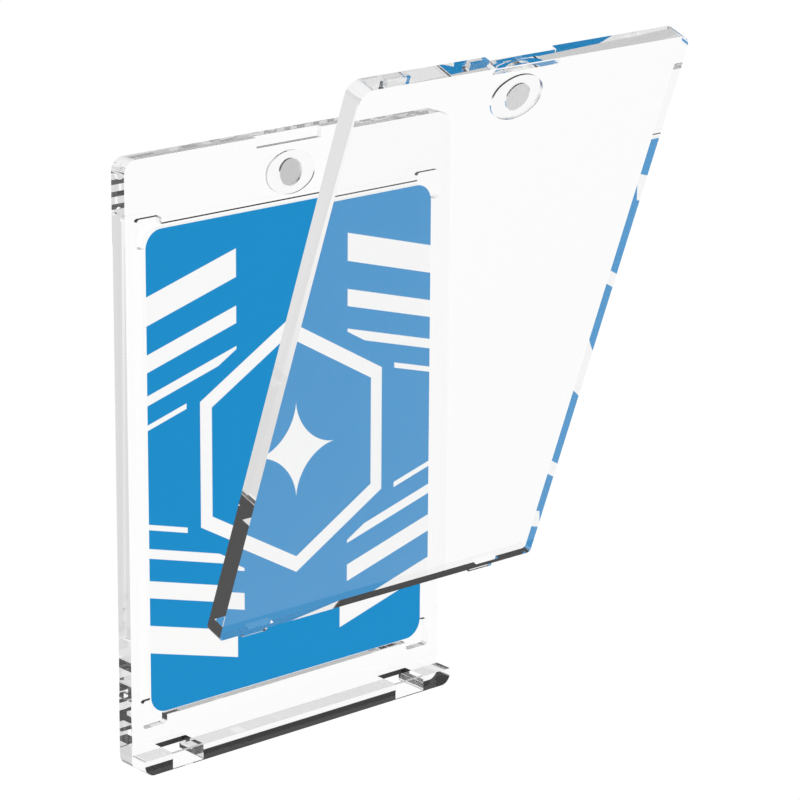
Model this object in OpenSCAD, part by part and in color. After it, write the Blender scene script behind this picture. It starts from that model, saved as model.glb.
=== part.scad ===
// Two-part magnetic display case for one trading card.
// A clear rear half stands on its own ledge and holds the card in a recess.
// A clear cover half hooks two tabs into the ledge and is held shut by magnets.
// Axes: X to the right, Y to the back, Z up. The origin is at the middle of the
// foot, on the parting plane, which is the front face of the rear half.

/* [Case] */
// Width of both halves
case_w = 72.3; // [71:0.1:90]
// Height of the closed case
case_h = 111.5; // [109:0.1:134]
// Thickness of the rear half
base_t = 3.7; // [3.2:0.1:6]
// Thickness of the cover half
cover_t = 3.7; // [3.4:0.1:6]
// Radius of the upper corners of both halves
corner_r = 2.5; // [1:0.1:5]
// Radius of the rear half's lower corners
foot_r = 2.1; // [0.5:0.1:2.9]
// Radius of the cover's lower corners
cover_foot_r = 0.8; // [0.3:0.1:2.9]
// Gap between the halves, and over the ledge, when the case is shut
seat_gap = 0.05; // [0.02:0.01:0.1]

/* [Card] */
// Width of the card
card_w = 63.5; // [60:0.1:63.5]
// Height of the card
card_h = 88.9; // [80:0.1:90]
// Thickness of the card
card_t = 1.4; // [0.9:0.1:1.9]
// Radius of the card's corners
card_r = 3.4; // [1:0.1:5]
// Height of the card's lower edge above the foot
card_foot = 9.7; // [9:0.1:12]

/* [Recess] */
// Gap beside the card, on each side
side_gap = 0.35; // [0.2:0.05:0.6]
// Gap over the card, and under it
end_gap = 0.8; // [0.3:0.05:1]
// Gap in front of the card, when the case is shut
front_gap = 0.1; // [0.05:0.05:0.2]
// Gap behind the card, which keeps the two flat faces from sticking
back_gap = 0.05; // [0.05:0.05:0.1]
// Side of each square relief pocket at the recess's corners
pocket_side = 5.3; // [4:0.1:7]
// How far a pocket reaches past the recess, both ways
pocket_reach = 1.5; // [0.8:0.1:1.8]
// Radius of the pockets' corners
pocket_r = 0.6; // [0.3:0.1:0.7]

/* [Ledge and slots] */
// Height of the ledge
ledge_h = 3; // [3:0.1:5]
// Thickness of the wall in front of each slot
slot_wall = 0.65; // [0.5:0.05:0.7]
// Width of each slot
slot_w = 6.9; // [6:0.1:10]
// Distance from the case's middle to a slot's middle
slot_x = 26.25; // [15:0.25:28]

/* [Tabs] */
// Gap between a tab and each end of its slot
tab_side_gap = 0.75; // [0.2:0.05:1]
// Distance from a tab's tip up to the foot, when the case is shut
tab_foot_gap = 0.15; // [0.1:0.05:0.5]
// Distance from the cover's front face back to a tab's front face
tab_setback = 1.9; // [1.9:0.05:2.2]
// Radius of the lead-in on a tab's front lower edge
tab_lead_r = 0.6; // [0.5:0.1:1]
// Radius of a tab's lower corners
tab_corner_r = 0.5; // [0.2:0.1:1]

/* [Thumb notch] */
// Width of the notch in the top edge of each half
notch_w = 14.7; // [10:0.1:20]
// Height of the notch
notch_h = 1.9; // [1:0.1:2.5]
// Depth of the notch, into each inner face
notch_depth = 1.2; // [0.6:0.1:1.6]

/* [Magnets] */
// Diameter of each magnet
magnet_d = 4.9; // [4:0.1:5.2]
// Thickness of each magnet
magnet_t = 0.5; // [0.5:0.1:1.5]
// How far the rear magnet's face lies under the face of its collar
magnet_sink = 0.3; // [0.1:0.05:0.3]
// Distance from the case's top edge to a magnet's centre
magnet_drop = 7.1; // [6.7:0.1:7.4]
// Radius of the two ends of the rear half's oval collar
collar_end_r = 3.2; // [3:0.02:3.2]
// Unit of that oval, which is six units longer and two units higher than a
// disc with its end radius
collar_unit = 0.74; // [0.6:0.02:0.74]
// How far that collar stands out of the rear half's inner face
collar_rise = 0.5; // [0.3:0.05:0.5]
// Radius of the two ends of the cover's oval socket, which takes the collar
socket_end_r = 3.54; // [3.54:0.02:3.6]
// Unit of the socket's oval
socket_unit = 0.66; // [0.66:0.02:0.7]
// How far the socket's middle lies under the collar's. The cover rises a
// little while it comes off the collar, and this makes room for that.
socket_drop = 0.14; // [0.12:0.02:0.16]
// Gap left in front of the collar when the case is shut
socket_gap = 0.1; // [0.05:0.05:0.2]
// Thickness of the oval plate on the socket's floor, round the cover's magnet
socket_plate_t = 0.2; // [0.2:0.05:0.4]
// Gap all round a bonded piece
fit_gap = 0.04; // [0.02:0.01:0.06]

/* [Opening] */
// Angle that the lifted cover leans forward
open_angle = 20; // [18:0.1:22]
// How far the lifted cover's lower edge has risen
lift_up = 29.1; // [27:0.1:32]
// How far that edge has come forward
lift_out = 21.5; // [18:0.1:22]

/* [Hidden] */
$fn = 64;
cut = 1;                                   // how far a cut runs past a face

cover_back = -seat_gap;                    // the cover's inner face, case shut
cover_front = cover_back - cover_t;
cover_foot = ledge_h + seat_gap;           // the cover's lower edge, case shut
cover_h = case_h - cover_foot;

recess_w = card_w + 2 * side_gap;
recess_h = card_h + 2 * end_gap;
recess_foot = card_foot - end_gap;
recess_depth = front_gap + card_t + back_gap;

slot_front = cover_front + slot_wall;
tab_w = slot_w - 2 * tab_side_gap;
tab_front = cover_front + tab_setback;

magnet_z = case_h - magnet_drop;
magnet_bore_d = magnet_d + 2 * fit_gap;
base_magnet_face = magnet_sink - collar_rise;
base_bore_end = base_magnet_face + magnet_t + fit_gap;

socket_z = magnet_z - socket_drop;
plate_face = -collar_rise - socket_gap;    // in front of the shut case's collar
plate_back = plate_face - socket_plate_t;
cover_magnet_face = plate_face - fit_gap;
cover_bore_end = cover_magnet_face - magnet_t - fit_gap;

// The cover swings on one fixed line, parallel to X, that carries it from the
// shut place to the lifted one. The line lies on the perpendicular bisector of
// the path of the cover's lower front edge.
swing_reach = 1 / (2 * tan(open_angle / 2));
swing_y = cover_front - lift_out / 2 - lift_up * swing_reach;
swing_z = cover_foot + lift_up / 2 - lift_out * swing_reach;

echo(swing_line = [swing_y, swing_z]);

// ---- outlines, drawn in X and Z -------------------------------------------

// Rectangle with round corners, centred in X, its lower edge at foot
module round_rect(w, h, r, foot) {
    translate([-w / 2 + r, foot]) square([w - 2 * r, h]);
    translate([-w / 2, foot + r]) square([w, h - 2 * r]);
    for (side = [-1, 1], z = [foot + r, foot + h - r])
        translate([side * (w / 2 - r), z]) circle(r);
}

// Outline of one half, centred in X, its lower edge at foot. The upper corners
// have the radius top_r and the lower ones low_r.
module half_outline(w, h, top_r, low_r, foot) {
    translate([-w / 2 + low_r, foot]) square([w - 2 * low_r, h - top_r]);
    translate([-w / 2, foot + low_r]) square([w, h - low_r - top_r]);
    translate([-w / 2 + top_r, foot + low_r]) square([w - 2 * top_r, h - low_r]);
    for (side = [-1, 1]) {
        translate([side * (w / 2 - low_r), foot + low_r]) circle(low_r);
        translate([side * (w / 2 - top_r), foot + h - top_r]) circle(top_r);
    }
}

// Four-centre oval: two flatter sides that run smoothly into two round ends.
// The centres lie 3 units out for the ends and 4 units up and down for the
// sides, so the line through two of them, on which the arcs meet, is 5 long.
module oval(unit, end_r) {
    side_r = end_r + 5 * unit;
    join_x = side_r * 3 / 5;
    end_square = 2 * end_r;
    intersection() {
        translate([0, 4 * unit]) circle(side_r, $fn = 128);
        translate([0, -4 * unit]) circle(side_r, $fn = 128);
        square([2 * join_x, 2 * side_r], center = true);
    }
    for (side = [-1, 1]) intersection() {
        translate([side * 3 * unit, 0]) circle(end_r);
        translate([side * (join_x + end_r), 0]) square(end_square, center = true);
    }
}

// Recess for the card, with a square relief pocket at each corner
module recess_outline() {
    pocket_x = recess_w / 2 + pocket_reach - pocket_side / 2;
    low = recess_foot - pocket_reach;
    high = recess_foot + recess_h + pocket_reach - pocket_side;
    translate([-recess_w / 2, recess_foot]) square([recess_w, recess_h]);
    for (side = [-1, 1], foot = [low, high])
        translate([side * pocket_x, 0])
            round_rect(pocket_side, pocket_side, pocket_r, foot);
}

// ---- solids made from the outlines ----------------------------------------

// An X and Z outline given thickness, from y_front back to y_back
module slab(y_front, y_back) {
    translate([0, y_back, 0]) rotate([90, 0, 0])
        linear_extrude(y_back - y_front) children();
}

// Thumb notch in a top edge, cut from y_front back to y_back
module thumb_notch(y_front, y_back) {
    slab(y_front, y_back) translate([-notch_w / 2, case_h - notch_h])
        square([notch_w, notch_h + cut]);
}

// Round bore for a magnet, cut from y_front back to y_back
module magnet_bore(y_front, y_back) {
    slab(y_front, y_back) translate([0, magnet_z]) circle(d = magnet_bore_d);
}

// Disc magnet, its rear face at y_back
module magnet(y_back) {
    slab(y_back - magnet_t, y_back) translate([0, magnet_z]) circle(d = magnet_d);
}

// Clear oval, its middle at the height z, with the bore for a magnet in it
module magnet_collar(y_front, y_back, unit, end_r, z) {
    slab(y_front, y_back) difference() {
        translate([0, z]) oval(unit, end_r);
        translate([0, magnet_z]) circle(d = magnet_bore_d);
    }
}

// Oval socket for the rear half's collar, cut into the cover's inner face
module collar_socket() {
    slab(plate_back - fit_gap, cover_back + cut)
        translate([0, socket_z]) oval(socket_unit, socket_end_r);
}

// Through slot in the ledge for a tab. It runs on under the rear half, so the
// tab can lean back in it while the cover tilts.
module tab_slot() {
    translate([-slot_w / 2, slot_front, -cut])
        cube([slot_w, base_t + cut - slot_front, ledge_h + cut]);
}

// Tab under the cover: round lower corners and a round lead-in at the front
module tab() {
    tip = tab_foot_gap;
    root = cover_foot + tab_corner_r + cut;
    intersection() {
        slab(tab_front, cover_back) round_rect(tab_w, root - tip, tab_corner_r, tip);
        translate([-tab_w, 0, 0]) rotate([90, 0, 90]) linear_extrude(2 * tab_w) {
            translate([tab_front + tab_lead_r, tip])
                square([cover_back - tab_front - tab_lead_r, root - tip]);
            translate([tab_front, tip + tab_lead_r])
                square([tab_lead_r + cut, root - tip - tab_lead_r]);
            translate([tab_front + tab_lead_r, tip + tab_lead_r])
                circle(tab_lead_r);
        }
        translate([-tab_w, tab_front - cut, tip - cut])
            cube([2 * tab_w, cover_back - tab_front + 2 * cut, cover_foot - tip + 2 * cut]);
    }
}

// Carries what is drawn in the shut place to the lifted place
module lifted() {
    translate([0, swing_y, swing_z]) rotate([open_angle, 0, 0])
        translate([0, -swing_y, -swing_z]) children();
}

// ---- the pieces ------------------------------------------------------------

// Rear half: plate, ledge, card recess, slots, notch and magnet bore
module base_shell() {
    color([0.86, 0.89, 0.92, 0.4]) difference() {
        union() {
            slab(0, base_t) half_outline(case_w, case_h, corner_r, foot_r, 0);
            slab(cover_front, base_t) intersection() {
                half_outline(case_w, case_h, corner_r, foot_r, 0);
                translate([-case_w / 2, 0]) square([case_w, ledge_h]);
            }
        }
        slab(-cut, recess_depth) recess_outline();
        for (side = [-1, 1]) translate([side * slot_x, 0, 0]) tab_slot();
        thumb_notch(-cut, notch_depth);
        magnet_bore(-cut, base_bore_end);
    }
}

// Cover half: plain plate with two tabs, notch, collar socket and magnet bore
module cover_shell() {
    color([0.88, 0.91, 0.94, 0.4]) lifted() difference() {
        union() {
            slab(cover_front, cover_back)
                half_outline(case_w, cover_h, corner_r, cover_foot_r, cover_foot);
            for (side = [-1, 1]) translate([side * slot_x, 0, 0]) tab();
        }
        thumb_notch(cover_back - notch_depth, cover_back + cut);
        collar_socket();
        magnet_bore(cover_bore_end, cover_back + cut);
    }
}

// Stiff card of the thickness that the case is made for
module card() {
    color([0.14, 0.55, 0.8]) slab(front_gap, front_gap + card_t)
        round_rect(card_w, card_h, card_r, card_foot);
}

module base_magnet() {
    color([0.75, 0.75, 0.76]) magnet(base_magnet_face + magnet_t);
}

// Raised oval that holds the rear magnet and centres the shut cover
module base_magnet_collar() {
    color([0.84, 0.88, 0.9, 0.5])
        magnet_collar(-collar_rise, -fit_gap, collar_unit, collar_end_r, magnet_z);
}

module cover_magnet() {
    color([0.75, 0.75, 0.76]) lifted() magnet(cover_magnet_face);
}

// Flat oval that holds the cover's magnet, on the floor of the socket
module cover_magnet_collar() {
    color([0.84, 0.88, 0.9, 0.5]) lifted()
        magnet_collar(plate_back, plate_face, socket_unit, socket_end_r - fit_gap, socket_z);
}

base_shell();
cover_shell();
card();
base_magnet();
base_magnet_collar();
cover_magnet();
cover_magnet_collar();
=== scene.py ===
"""Looks of the two-part magnetic display case for one trading card.

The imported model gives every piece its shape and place. This script gives the
pieces their finish: clear acrylic, nickel plated magnets and a printed card,
on a white studio floor, seen as in the photograph. Lengths are in metres.
"""

import math

import bmesh
import bpy
from mathutils import Matrix, Vector

MM = 0.001

# Camera, fitted to the case's edges in the photograph
CAMERA_PLACE = Vector((-396.82, -486.99, 254.54)) * MM
CAMERA_AZIMUTH = math.radians(-40.984)
CAMERA_ELEVATION = math.radians(17.009)
CAMERA_ROLL = math.radians(0.470)
CAMERA_LENS = 164.6
CAMERA_SENSOR = 36
CAMERA_CLIP = (0.01, 20)

# Floor, and how bright the studio is in straight view and on matt surfaces
FLOOR_SIZE = 6.0
FLOOR_DROP = 0.2 * MM
STRAIGHT_WHITE = 1.005
MATT_WHITE = 1.0

# The studio in reflections: how bright each part of it is
REFLECTED_FLOOR_BACK = 0.76
REFLECTED_FLOOR_FRONT = 0.68
REFLECTED_FLOOR_BELOW = 0.74
REFLECTED_BACKDROP = 0.93
REFLECTED_PANEL = 1.0
REFLECTED_SKY = 0.02

# Where those parts meet, each pair the start and end of a soft change: heights
# of a direction of length 1, then how far it points back, and to the panel
BACKDROP_FOOT = (-0.31, -0.23)
FLOOR_BELOW_RIM = (-0.6, -0.4)
HORIZON = (-0.14, 0.18)
FRONT_TO_BACK = (-0.3, 0.3)
PANEL_RIM = (0.5, 0.8)
PANEL_SIDE = (-0.574, 0.819, 0)

# Clear acrylic. Where a ray is still inside after the most turns, the acrylic glows pale: painted
# light standing in for the light trapped there.
ACRYLIC_IOR = 1.58
ACRYLIC_SHINE = (0.72, 0.72, 0.72, 1)
MOST_TURNS = 32
TRAPPED_LIGHT = 0.95
EDGE_WAVE = 7 * MM
EDGE_WAVE_DEPTH = 0.0008 * MM
EDGE_TO_FACE = (0.6, 0.95)
ACRYLIC_MARK_SPACING = 16 * MM
ACRYLIC_MARK_AMOUNT = 0.2
ACRYLIC_MARK_ROUGHNESS = 0.03

# Handling marks: the turn and stretch of each set of hairlines, and their patches
MARK_STROKES = ((0.4, 9.0), (-0.9, 6.0), (1.3, 12.0))
MARK_TILT = 0.2
MARK_WIDTH = 0.004
PATCH_SCALE = 0.7
PATCH_LEVEL = 0.75
PATCH_GAIN = 0.4
PATCH_SOFT = 0.1

# Nickel plating
NICKEL_DARK = (0.81, 0.81, 0.815)
NICKEL_PALE = (0.87, 0.87, 0.865)
NICKEL_RUBBED = (0.75, 0.75, 0.75)
NICKEL_RUBBED_SHARE = 0.5
NICKEL_METALLIC = 0.8
NICKEL_ROUGHNESS = (0.28, 0.38)
NICKEL_WAVE = 1.6 * MM
NICKEL_GRAIN = 0.12 * MM
NICKEL_GRAIN_DEPTH = 0.004 * MM
NICKEL_MARK_SPACING = 1.5 * MM
NICKEL_MARK_AMOUNT = 0.6

# Card: ink, print grain and the paper layers at its cut edges
CARD_MIDDLE = 54.15 * MM
CARD_BLUE = (0.010, 0.258, 0.580)
CARD_BLUE_THIN = (0.014, 0.280, 0.610)
CARD_WHITE = (0.95, 0.95, 0.945)
PRINT_GRAIN = 0.15 * MM
PRINT_GRAIN_DEPTH = 0.003 * MM
PRINT_ROUGHNESS = (0.35, 0.45)
PRINT_SHINE = 0.03
PAPER = (0.97, 0.98, 0.98)
PAPER_SEAM = (0.62, 0.61, 0.60)
PAPER_SEAM_SHARE = 0.12
PAPER_SEAM_WIDTH = 0.04
PAPER_LAYER = 0.12
FACE_LIMIT = 0.5

# Front of the card, in mm from its middle
PRINT_SOFT = 0.06
HEXAGON_SLANT = (0.5, 0.866)
RING_INSIDE, RING_OUTSIDE, RING_CLEAR = 17.6, 20.2, 23.2
WING_SLOPE = 0.28
WING_BANDS = ((17.5, 18.5), (22.0, 23.8), (28.0, 31.2), (36.4, 41.6))
WING_START = 12.0
STAR_REACH = 9.0
STAR_POWER = 0.6
STAR_SOFT = 0.03

# Back of the card, in mm from its middle
BORDER_SIDE = 28.4
BORDER_END = 41.1
LATTICE_STEP = 2.4
LATTICE_LINE = (0.22, 0.34)


# ---- node helpers -----------------------------------------------------------

class Nodes:
    """A node tree with short calls to add nodes and join their sockets."""

    def __init__(self, tree):
        self.tree = tree
        tree.nodes.clear()

    def add(self, kind, settings=None, **inputs):
        """A node with its properties set and its inputs filled or linked."""
        node = self.tree.nodes.new(kind)
        for name, value in (settings or {}).items():
            setattr(node, name, value)
        for name, value in inputs.items():
            self.fill(node.inputs[name.replace("_", " ")], value)
        return node

    def fill(self, socket, value):
        """Links a socket to another one, or sets it to a plain value."""
        if isinstance(value, bpy.types.NodeSocket):
            self.tree.links.new(value, socket)
        else:
            socket.default_value = value

    def math(self, operation, a, b=0.0, c=0.0):
        node = self.add("ShaderNodeMath", {"operation": operation})
        for socket, value in zip(node.inputs, (a, b, c)):
            self.fill(socket, value)
        return node.outputs[0]

    def mix(self, share, a, b):
        """Number between a, at share 0, and b, at share 1."""
        node = self.add("ShaderNodeMix")
        self.fill(node.inputs[0], share)
        self.fill(node.inputs[2], a)
        self.fill(node.inputs[3], b)
        return node.outputs[0]

    def mix_colour(self, share, a, b):
        """Colour between a, at share 0, and b, at share 1."""
        node = self.add("ShaderNodeMix", {"data_type": "RGBA"})
        self.fill(node.inputs[0], share)
        for socket, value in ((node.inputs[6], a), (node.inputs[7], b)):
            linked = isinstance(value, bpy.types.NodeSocket)
            self.fill(socket, value if linked else (*value, 1))
        return node.outputs[2]

    def ramp(self, value, low, high, start=0.0, end=1.0):
        """Value from start, at low, smoothly to end, at high."""
        node = self.add("ShaderNodeMapRange", {"interpolation_type": "SMOOTHSTEP"},
                        Value=value, From_Min=low, From_Max=high, To_Min=start, To_Max=end)
        return node.outputs[0]

    def band(self, value, low, high, soft):
        """1 where the value is between low and high, with soft edges."""
        inside = self.ramp(value, low - soft, low + soft)
        outside = self.ramp(value, high - soft, high + soft)
        return self.math("SUBTRACT", inside, outside)

    def noise(self, vector, scale, detail, roughness=0.5):
        node = self.add("ShaderNodeTexNoise", Vector=vector, Scale=scale, Detail=detail,
                        Roughness=roughness)
        return node.outputs[0]

    def place_group(self, group, **inputs):
        """One of the shared effects, with values of its own."""
        return self.add("ShaderNodeGroup", {"node_tree": group}, **inputs)


def new_group(name, inputs, outputs):
    """A shader node group with named number or vector inputs and number outputs."""
    group = bpy.data.node_groups.new(name, "ShaderNodeTree")
    for socket, (kind, default) in inputs.items():
        made = group.interface.new_socket(socket, in_out="INPUT", socket_type=kind)
        if default is not None:
            made.default_value = default
    for socket in outputs:
        group.interface.new_socket(socket, in_out="OUTPUT", socket_type="NodeSocketFloat")
    tree = Nodes(group)
    return group, tree, tree.add("NodeGroupInput"), tree.add("NodeGroupOutput")


def new_material(name):
    material = bpy.data.materials.new(name)
    material.use_nodes = True
    return material, Nodes(material.node_tree)


def give(node_name, material):
    """Gives a CAD node its finish."""
    mesh = nodes[node_name].data
    mesh.materials.clear()
    mesh.materials.append(material)


# ---- effects that several finishes share ------------------------------------

def relief_group():
    """Slow waves and fine grain, each 0 to 1, with sizes in metres."""
    group, tree, inside, out = new_group(
        "surface_relief",
        {
            "Vector": ("NodeSocketVector", None),
            "Wave Size": ("NodeSocketFloat", 0.008),
            "Grain Size": ("NodeSocketFloat", 0.0003),
        },
        ("Wave", "Grain"),
    )
    vector = inside.outputs["Vector"]
    wave_scale = tree.math("DIVIDE", 1.0, inside.outputs["Wave Size"])
    grain_scale = tree.math("DIVIDE", 1.0, inside.outputs["Grain Size"])
    tree.fill(out.inputs["Wave"], tree.noise(vector, wave_scale, detail=1.0))
    tree.fill(out.inputs["Grain"], tree.noise(vector, grain_scale, detail=3.0, roughness=0.6))
    return group


def marks_group():
    """Sparse hairline marks from handling, as a mask of 0 to 1."""
    group, tree, inside, out = new_group(
        "handling_marks",
        {
            "Vector": ("NodeSocketVector", None),
            "Spacing": ("NodeSocketFloat", 0.01),
            "Amount": ("NodeSocketFloat", 0.3),
        },
        ("Mark",),
    )
    vector = inside.outputs["Vector"]
    scale = tree.math("DIVIDE", 1.0, inside.outputs["Spacing"])
    strokes = []
    for turn, stretch in MARK_STROKES:
        place = tree.add("ShaderNodeMapping", Vector=vector, Rotation=(MARK_TILT, turn, 0),
                         Scale=(1, 1, stretch))
        cells = tree.noise(place.outputs[0], scale, detail=1.0)
        near = tree.math("ABSOLUTE", tree.math("SUBTRACT", cells, 0.5))
        strokes.append(tree.ramp(near, 0.0, MARK_WIDTH, 1.0, 0.0))
    lines = tree.math("MAXIMUM", strokes[0], tree.math("MAXIMUM", strokes[1], strokes[2]))
    where = tree.noise(vector, tree.math("MULTIPLY", scale, PATCH_SCALE), detail=2.0)
    limit = tree.math("SUBTRACT", PATCH_LEVEL,
                      tree.math("MULTIPLY", inside.outputs["Amount"], PATCH_GAIN))
    patch = tree.add("ShaderNodeMapRange", Value=where, From_Min=limit,
                     From_Max=tree.math("ADD", limit, PATCH_SOFT))
    tree.fill(out.inputs["Mark"], tree.math("MULTIPLY", lines, patch.outputs[0]))
    return group


# ---- finishes ---------------------------------------------------------------

def clear_acrylic():
    """Polished acrylic: flat faces, slightly wavy edges, faint handling marks, and a painted pale
    glow for light trapped inside.
    """
    material, tree = new_material("clear_acrylic")
    place = tree.add("ShaderNodeTexCoord")
    relief = tree.place_group(relief_effect, Vector=place.outputs["Object"], Wave_Size=EDGE_WAVE)
    marks = tree.place_group(marks_effect, Vector=place.outputs["Object"],
                             Spacing=ACRYLIC_MARK_SPACING, Amount=ACRYLIC_MARK_AMOUNT)
    facing = tree.add("ShaderNodeSeparateXYZ", Vector=place.outputs["Normal"])
    flat = tree.math("ABSOLUTE", facing.outputs["Y"])
    edge = tree.ramp(flat, *EDGE_TO_FACE, 1.0, 0.0)
    height = tree.math("MULTIPLY", relief.outputs["Wave"], edge)
    bump = tree.add("ShaderNodeBump", Height=height, Distance=EDGE_WAVE_DEPTH)
    # Painted light: the acrylic glows pale once a ray has turned inside it more than the most
    # turns.
    path = tree.add("ShaderNodeLightPath")
    trapped = tree.math("GREATER_THAN", path.outputs["Ray Depth"], MOST_TURNS + 0.5)
    shader = tree.add(
        "ShaderNodeBsdfPrincipled",
        Base_Color=(1, 1, 1, 1), IOR=ACRYLIC_IOR, Transmission_Weight=1,
        Specular_Tint=ACRYLIC_SHINE, Normal=bump.outputs[0],
        Roughness=tree.math("MULTIPLY", marks.outputs["Mark"], ACRYLIC_MARK_ROUGHNESS),
        Emission_Color=(1, 1, 1, 1),
        Emission_Strength=tree.math("MULTIPLY", trapped, TRAPPED_LIGHT),
    )
    tree.add("ShaderNodeOutputMaterial", Surface=shader.outputs[0])
    material.cycles.emission_sampling = "NONE"
    return material


def nickel():
    """Nickel plating with a fine grain and a few rubbed marks."""
    material, tree = new_material("nickel_plating")
    place = tree.add("ShaderNodeTexCoord")
    relief = tree.place_group(relief_effect, Vector=place.outputs["Object"],
                              Wave_Size=NICKEL_WAVE, Grain_Size=NICKEL_GRAIN)
    marks = tree.place_group(marks_effect, Vector=place.outputs["Object"],
                             Spacing=NICKEL_MARK_SPACING, Amount=NICKEL_MARK_AMOUNT)
    rubbed = tree.math("MULTIPLY", marks.outputs["Mark"], NICKEL_RUBBED_SHARE)
    tone = tree.mix_colour(relief.outputs["Wave"], NICKEL_DARK, NICKEL_PALE)
    tone = tree.mix_colour(rubbed, tone, NICKEL_RUBBED)
    bump = tree.add("ShaderNodeBump", Height=relief.outputs["Grain"], Distance=NICKEL_GRAIN_DEPTH)
    shader = tree.add(
        "ShaderNodeBsdfPrincipled",
        Base_Color=tone, Metallic=NICKEL_METALLIC, Normal=bump.outputs[0],
        Roughness=tree.mix(relief.outputs["Wave"], *NICKEL_ROUGHNESS),
    )
    tree.add("ShaderNodeOutputMaterial", Surface=shader.outputs[0])
    return material


def card_front(tree, across, up):
    """1 on the white shapes of the printed front, 0 on its blue ground."""
    slant = tree.math("MULTIPLY_ADD", up, HEXAGON_SLANT[1],
                      tree.math("MULTIPLY", across, HEXAGON_SLANT[0]))
    hexagon = tree.math("MAXIMUM", across, slant)
    ring = tree.band(hexagon, RING_INSIDE, RING_OUTSIDE, PRINT_SOFT)
    clear = tree.ramp(hexagon, RING_CLEAR - PRINT_SOFT, RING_CLEAR + PRINT_SOFT)
    beside = tree.ramp(across, WING_START - PRINT_SOFT, WING_START + PRINT_SOFT)
    wing = tree.math("MULTIPLY_ADD", across, WING_SLOPE, up)
    bands = 0.0
    for band in WING_BANDS:
        bands = tree.math("MAXIMUM", bands, tree.band(wing, *band, PRINT_SOFT))
    wings = tree.math("MULTIPLY", bands, tree.math("MULTIPLY", beside, clear))
    star = tree.math("ADD", tree.math("POWER", across, STAR_POWER),
                     tree.math("POWER", up, STAR_POWER))
    star_edge = STAR_REACH ** STAR_POWER
    star = tree.ramp(star, star_edge - STAR_SOFT, star_edge + STAR_SOFT, 1.0, 0.0)
    return tree.math("MAXIMUM", star, tree.math("MAXIMUM", ring, wings))


def card_back(tree, across, up):
    """1 on the white border and lattice of the printed back."""
    side = tree.math("GREATER_THAN", across, BORDER_SIDE)
    end = tree.math("GREATER_THAN", up, BORDER_END)
    white = tree.math("MAXIMUM", side, end)
    for slope in (1.0, -1.0):
        line = tree.math("MULTIPLY_ADD", across, slope, up)
        line = tree.math("PINGPONG", line, LATTICE_STEP)
        white = tree.math("MAXIMUM", white, tree.ramp(line, *LATTICE_LINE, 1.0, 0.0))
    return white


def printed_card():
    """Print on both faces of a white card, with paper at its cut edges."""
    material, tree = new_material("printed_card")
    place = tree.add("ShaderNodeTexCoord")
    spot = tree.add("ShaderNodeSeparateXYZ", Vector=place.outputs["Object"])
    facing = tree.add("ShaderNodeSeparateXYZ", Vector=place.outputs["Normal"])
    relief = tree.place_group(relief_effect, Vector=place.outputs["Object"],
                              Grain_Size=PRINT_GRAIN)
    grain = relief.outputs["Grain"]

    across = tree.math("ABSOLUTE", tree.math("MULTIPLY", spot.outputs["X"], 1 / MM))
    up = tree.math("SUBTRACT", spot.outputs["Z"], CARD_MIDDLE)
    up = tree.math("ABSOLUTE", tree.math("MULTIPLY", up, 1 / MM))
    front = tree.math("LESS_THAN", facing.outputs["Y"], -FACE_LIMIT)
    shape = tree.mix(front, card_back(tree, across, up), card_front(tree, across, up))
    full_ink = tree.mix_colour(shape, CARD_BLUE, CARD_WHITE)
    thin_ink = tree.mix_colour(shape, CARD_BLUE_THIN, CARD_WHITE)
    ink = tree.mix_colour(grain, full_ink, thin_ink)

    layer = tree.math("MULTIPLY", spot.outputs["Y"], 1 / MM)
    layer = tree.math("PINGPONG", layer, PAPER_LAYER)
    seam = tree.ramp(layer, 0.0, PAPER_SEAM_WIDTH, 1.0, 0.0)
    seam = tree.math("MULTIPLY", seam, PAPER_SEAM_SHARE)
    paper = tree.mix_colour(seam, PAPER, PAPER_SEAM)
    edge = tree.math("LESS_THAN", tree.math("ABSOLUTE", facing.outputs["Y"]), FACE_LIMIT)

    bump = tree.add("ShaderNodeBump", Height=grain, Distance=PRINT_GRAIN_DEPTH)
    shader = tree.add(
        "ShaderNodeBsdfPrincipled",
        Base_Color=tree.mix_colour(edge, ink, paper), Normal=bump.outputs[0],
        Roughness=tree.mix(grain, *PRINT_ROUGHNESS), Specular_IOR_Level=PRINT_SHINE,
    )
    tree.add("ShaderNodeOutputMaterial", Surface=shader.outputs[0])
    return material


# ---- studio -----------------------------------------------------------------

def mirrored_studio(tree, way):
    """Brightness that a mirror finds in a direction.

    Below the horizon are a pale floor, a backdrop behind it and a soft panel at
    the left of that. Above it is a dark sky.
    """
    height = tree.add("ShaderNodeSeparateXYZ", Vector=way).outputs["Z"]
    level = tree.add("ShaderNodeVectorMath", {"operation": "MULTIPLY"}, Vector=way)
    level.inputs[1].default_value = (1, 1, 0)
    level = tree.add("ShaderNodeVectorMath", {"operation": "NORMALIZE"}, Vector=level.outputs[0])
    behind = tree.add("ShaderNodeSeparateXYZ", Vector=level.outputs[0]).outputs["Y"]
    to_panel = tree.add("ShaderNodeVectorMath", {"operation": "DOT_PRODUCT"},
                        Vector=level.outputs[0])
    to_panel.inputs[1].default_value = PANEL_SIDE

    back = tree.ramp(height, *BACKDROP_FOOT, REFLECTED_FLOOR_BACK, REFLECTED_BACKDROP)
    front = tree.ramp(height, *FLOOR_BELOW_RIM, REFLECTED_FLOOR_BELOW, REFLECTED_FLOOR_FRONT)
    below = tree.mix(tree.ramp(behind, *FRONT_TO_BACK), front, back)
    panel = tree.ramp(to_panel.outputs["Value"], *PANEL_RIM)
    below = tree.mix(panel, below, REFLECTED_PANEL)
    return tree.mix(tree.ramp(height, *HORIZON), below, REFLECTED_SKY)


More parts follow.
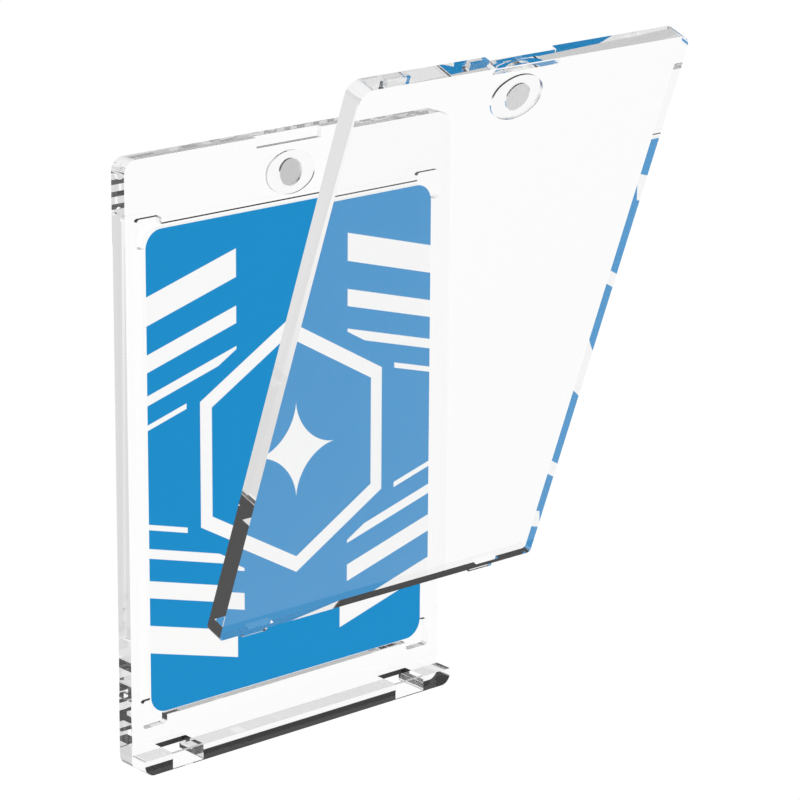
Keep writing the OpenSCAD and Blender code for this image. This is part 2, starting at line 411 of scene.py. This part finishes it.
def studio_light():
    """A soft studio round the case: plain white, except in what mirrors it."""
    world = bpy.data.worlds.new("studio")
    bpy.context.scene.world = world
    world.use_nodes = True
    tree = Nodes(world.node_tree)
    place = tree.add("ShaderNodeTexCoord")
    path = tree.add("ShaderNodeLightPath")
    in_mirror = tree.math("GREATER_THAN", path.outputs["Glossy Depth"], 0.5)
    on_matt = tree.math("GREATER_THAN", path.outputs["Diffuse Depth"], 0.5)
    mirrored = mirrored_studio(tree, place.outputs["Generated"])
    strength = tree.mix(in_mirror, STRAIGHT_WHITE, mirrored)
    strength = tree.mix(on_matt, strength, MATT_WHITE)
    background = tree.add("ShaderNodeBackground", Color=(1, 1, 1, 1), Strength=strength)
    tree.add("ShaderNodeOutputWorld", Surface=background.outputs[0])
    world.cycles.sampling_method = "NONE"


def studio_floor():
    """The white floor. Acrylic and metal see the studio's own floor instead."""
    mesh = bmesh.new()
    bmesh.ops.create_grid(mesh, x_segments=1, y_segments=1, size=FLOOR_SIZE / 2)
    bmesh.ops.translate(mesh, verts=mesh.verts, vec=(0, 0, -FLOOR_DROP))
    data = bpy.data.meshes.new("studio_floor")
    mesh.to_mesh(data)
    mesh.free()
    floor = bpy.data.objects.new("studio_floor", data)
    bpy.context.scene.collection.objects.link(floor)
    floor.visible_glossy = False
    floor.visible_transmission = False
    material, tree = new_material("white_floor")
    glow = tree.add("ShaderNodeEmission", Color=(1, 1, 1, 1), Strength=STRAIGHT_WHITE)
    tree.add("ShaderNodeOutputMaterial", Surface=glow.outputs[0])
    material.cycles.emission_sampling = "NONE"
    data.materials.append(material)


def photo_camera():
    """The camera, placed and turned as the one that took the photograph."""
    data = bpy.data.cameras.new("photo_camera")
    data.lens = CAMERA_LENS
    data.sensor_width = CAMERA_SENSOR
    data.clip_start, data.clip_end = CAMERA_CLIP
    camera = bpy.data.objects.new("photo_camera", data)
    bpy.context.scene.collection.objects.link(camera)
    flat = math.cos(CAMERA_ELEVATION)
    back = Vector((
        math.sin(CAMERA_AZIMUTH) * flat,
        -math.cos(CAMERA_AZIMUTH) * flat,
        math.sin(CAMERA_ELEVATION),
    ))
    right = Vector((0, 0, 1)).cross(back).normalized()
    up = back.cross(right)
    roll = Matrix.Rotation(CAMERA_ROLL, 3, back)
    turn = Matrix((roll @ right, roll @ up, back)).transposed()
    camera.matrix_world = Matrix.Translation(CAMERA_PLACE) @ turn.to_4x4()
    bpy.context.scene.camera = camera


# ---- the scene --------------------------------------------------------------

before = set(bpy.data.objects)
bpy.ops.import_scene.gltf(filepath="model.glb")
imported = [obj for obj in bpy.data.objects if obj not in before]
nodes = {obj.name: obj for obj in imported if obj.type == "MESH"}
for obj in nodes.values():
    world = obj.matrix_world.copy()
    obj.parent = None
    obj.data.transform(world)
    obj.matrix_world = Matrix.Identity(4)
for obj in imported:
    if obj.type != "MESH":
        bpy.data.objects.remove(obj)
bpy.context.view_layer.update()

photo_camera()
studio_floor()
studio_light()

relief_effect = relief_group()
marks_effect = marks_group()
acrylic = clear_acrylic()
for name in ("base_shell", "cover_shell", "base_magnet_collar", "cover_magnet_collar"):
    give(name, acrylic)
plating = nickel()
for name in ("base_magnet", "cover_magnet"):
    give(name, plating)
give("card", printed_card())

scene = bpy.context.scene
scene.view_settings.view_transform = "Standard"
scene.cycles.blur_glossy = 0
scene.cycles.max_bounces = MOST_TURNS
scene.cycles.glossy_bounces = MOST_TURNS
scene.cycles.transmission_bounces = MOST_TURNS
